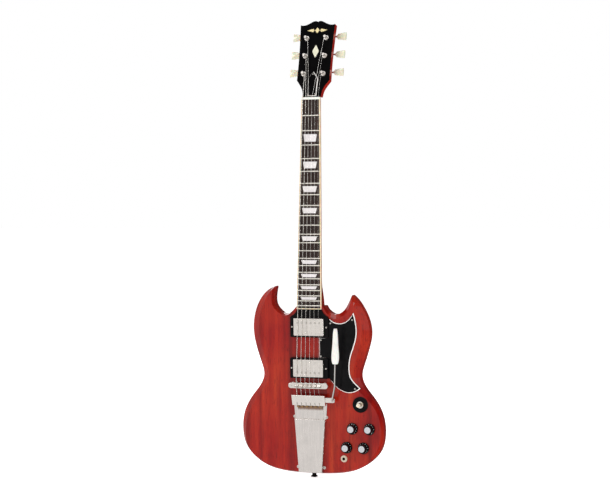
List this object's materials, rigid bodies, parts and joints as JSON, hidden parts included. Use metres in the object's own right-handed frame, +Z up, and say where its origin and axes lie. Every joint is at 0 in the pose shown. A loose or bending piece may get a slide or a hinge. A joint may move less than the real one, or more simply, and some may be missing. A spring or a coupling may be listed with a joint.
{
  "type": "electric guitar",
  "caption": "Double-cutaway solid-body electric guitar with set neck, humbucking pickups, bridge and leaf-spring vibrato tailpiece.",
  "frame": {"origin": "on the centreline at the bottom edge of the body, in the plane of the body's front face", "axes": "+Z up along the neck, +X to the treble side, +Y to the back; the strings face -Y"},
  "size_m": [0.33, 0.131, 1.0083],
  "materials": {
    "mahogany": "cherry-red stained mahogany under gloss lacquer",
    "head_veneer": "gloss black facing",
    "rosewood": "open-grained dark rosewood, oiled",
    "cream_binding": "polished cream binding",
    "fret_wire": "polished nickel-silver wire",
    "pearl": "pearl-like inlay",
    "bone": "satin off-white",
    "steel": "nickel-plated screws",
    "black_plastic": "polished black plastic",
    "nickel": "polished nickel plate",
    "bright_steel": "polished steel",
    "button_plastic": "cream-green translucent plastic buttons",
    "white_plastic": "gloss white",
    "cream_plastic": "gloss cream",
    "string_wire": "plain and wound nickel wire",
    "brass": "plain brass",
    "bobbin_plastic": "satin black",
    "magnet_metal": "cast magnet alloy",
    "plain_steel": "plain plated steel",
    "capacitor_body": "orange dipped coat",
    "wire_sleeve": "black insulated leads"
  },
  "bodies": {
    "guitar": {"body": "mahogany", "neck": "mahogany", "headstock_veneer": "head_veneer", "fretboard": "rosewood", "fretboard_binding": "cream_binding", "frets": "fret_wire", "fret_markers": "pearl", "nut": "bone", "truss_rod": "steel", "trim_screws": "steel", "wood_screws": "steel", "saddle_screws": "steel", "pickup_height_screws": "steel", "pickup_pole_screws": "steel", "truss_rod_cover": "black_plastic", "pickup_rings": "black_plastic", "pickguard": "black_plastic", "neck_joint_cover": "black_plastic", "toggle_ring": "black_plastic", "control_cavity_cover": "black_plastic", "strap_buttons": "black_plastic", "tuner_bushings": "nickel", "tuner_housings": "nickel", "pickup_covers": "nickel", "bridge_base": "nickel", "bridge_saddles": "nickel", "bridge_posts": "nickel", "vibrola_base": "nickel", "vibrola_cover": "nickel", "output_jack": "nickel", "vibrola_spring": "bright_steel", "strings": "string_wire", "pickup_bobbins": "bobbin_plastic", "pickup_magnets": "magnet_metal", "pickup_baseplates": "plain_steel", "potentiometers": "plain_steel", "toggle_switch": "plain_steel", "capacitors": "capacitor_body", "wiring": "wire_sleeve"},
    "key_1": {"tuner_key_1": "button_plastic"},
    "post_1": {"tuner_post_1": "nickel"},
    "key_2": {"tuner_key_2": "button_plastic"},
    "post_2": {"tuner_post_2": "nickel"},
    "key_3": {"tuner_key_3": "button_plastic"},
    "post_3": {"tuner_post_3": "nickel"},
    "key_4": {"tuner_key_4": "button_plastic"},
    "post_4": {"tuner_post_4": "nickel"},
    "key_5": {"tuner_key_5": "button_plastic"},
    "post_5": {"tuner_post_5": "nickel"},
    "key_6": {"tuner_key_6": "button_plastic"},
    "post_6": {"tuner_post_6": "nickel"},
    "volume_knob_neck": {"volume_knob_neck": "black_plastic"},
    "tone_knob_neck": {"tone_knob_neck": "black_plastic"},
    "volume_knob_bridge": {"volume_knob_bridge": "black_plastic"},
    "tone_knob_bridge": {"tone_knob_bridge": "black_plastic"},
    "toggle": {"toggle_lever": "cream_plastic"},
    "vibrato_bar": {"vibrola_bar": "nickel", "string_ball_ends": "brass"},
    "vibrato_arm": {"vibrola_arm": "bright_steel", "vibrola_handle": "white_plastic"}
  },
  "joints": [
    {"name": "tuner_key_1_turn", "type": "hinge", "parent": "guitar", "child": "key_1", "pos_m": [-0.0227, 0.06517, 0.88239], "axis": [-1, 0, 0], "continuous": true},
    {"name": "tuner_post_1_turn", "type": "hinge", "parent": "guitar", "child": "post_1", "pos_m": [-0.0227, 0.04394, 0.87911], "axis": [0, -0.9613, 0.2756], "continuous": true},
    {"name": "tuner_key_2_turn", "type": "hinge", "parent": "guitar", "child": "key_2", "pos_m": [-0.0227, 0.07659, 0.92224], "axis": [-1, 0, 0], "continuous": true},
    {"name": "tuner_post_2_turn", "type": "hinge", "parent": "guitar", "child": "post_2", "pos_m": [-0.0227, 0.05537, 0.91896], "axis": [0, -0.9613, 0.2756], "continuous": true},
    {"name": "tuner_key_3_turn", "type": "hinge", "parent": "guitar", "child": "key_3", "pos_m": [-0.0227, 0.08802, 0.96208], "axis": [-1, 0, 0], "continuous": true},
    {"name": "tuner_post_3_turn", "type": "hinge", "parent": "guitar", "child": "post_3", "pos_m": [-0.0227, 0.06679, 0.9588], "axis": [0, -0.9613, 0.2756], "continuous": true},
    {"name": "tuner_key_4_turn", "type": "hinge", "parent": "guitar", "child": "key_4", "pos_m": [0.0227, 0.08802, 0.96208], "axis": [1, 0, 0], "continuous": true},
    {"name": "tuner_post_4_turn", "type": "hinge", "parent": "guitar", "child": "post_4", "pos_m": [0.0227, 0.06679, 0.9588], "axis": [0, -0.9613, 0.2756], "continuous": true},
    {"name": "tuner_key_5_turn", "type": "hinge", "parent": "guitar", "child": "key_5", "pos_m": [0.0227, 0.07659, 0.92224], "axis": [1, 0, 0], "continuous": true},
    {"name": "tuner_post_5_turn", "type": "hinge", "parent": "guitar", "child": "post_5", "pos_m": [0.0227, 0.05537, 0.91896], "axis": [0, -0.9613, 0.2756], "continuous": true},
    {"name": "tuner_key_6_turn", "type": "hinge", "parent": "guitar", "child": "key_6", "pos_m": [0.0227, 0.06517, 0.88239], "axis": [1, 0, 0], "continuous": true},
    {"name": "tuner_post_6_turn", "type": "hinge", "parent": "guitar", "child": "post_6", "pos_m": [0.0227, 0.04394, 0.87911], "axis": [0, -0.9613, 0.2756], "continuous": true},
    {"name": "volume_knob_neck_turn", "type": "hinge", "parent": "guitar", "child": "volume_knob_neck", "pos_m": [0.0965, -0.008, 0.1032], "axis": [0, -1, 0], "range_deg": [-150, 150]},
    {"name": "tone_knob_neck_turn", "type": "hinge", "parent": "guitar", "child": "tone_knob_neck", "pos_m": [0.1355, -0.008, 0.1032], "axis": [0, -1, 0], "range_deg": [-150, 150]},
    {"name": "volume_knob_bridge_turn", "type": "hinge", "parent": "guitar", "child": "volume_knob_bridge", "pos_m": [0.083, -0.008, 0.0612], "axis": [0, -1, 0], "range_deg": [-150, 150]},
    {"name": "tone_knob_bridge_turn", "type": "hinge", "parent": "guitar", "child": "tone_knob_bridge", "pos_m": [0.1215, -0.008, 0.0612], "axis": [0, -1, 0], "range_deg": [-150, 150]},
    {"name": "toggle_tip", "type": "hinge", "parent": "guitar", "child": "toggle", "pos_m": [0.1153, 0.003, 0.1564], "axis": [0, 0, 1], "range_deg": [-12, 12]},
    {"name": "vibrato_rock", "type": "hinge", "parent": "guitar", "child": "vibrato_bar", "pos_m": [0, -0.00602, 0.17], "axis": [1, 0, 0], "range_deg": [-6, 4], "stiffness_Nm_per_rad": 17, "deforming": ["strings"]},
    {"name": "vibrato_arm_swing", "type": "hinge", "parent": "vibrato_bar", "child": "vibrato_arm", "pos_m": [0.057, -0.0155, 0.1655], "axis": [0, 1, 0], "range_deg": [-12, 95]}
  ],
  "couplings": [
    {"joint": "tuner_post_1_turn", "follows": "tuner_key_1_turn", "ratio": -0.071429},
    {"joint": "tuner_post_2_turn", "follows": "tuner_key_2_turn", "ratio": -0.071429},
    {"joint": "tuner_post_3_turn", "follows": "tuner_key_3_turn", "ratio": -0.071429},
    {"joint": "tuner_post_4_turn", "follows": "tuner_key_4_turn", "ratio": 0.071429},
    {"joint": "tuner_post_5_turn", "follows": "tuner_key_5_turn", "ratio": 0.071429},
    {"joint": "tuner_post_6_turn", "follows": "tuner_key_6_turn", "ratio": 0.071429}
  ]
}
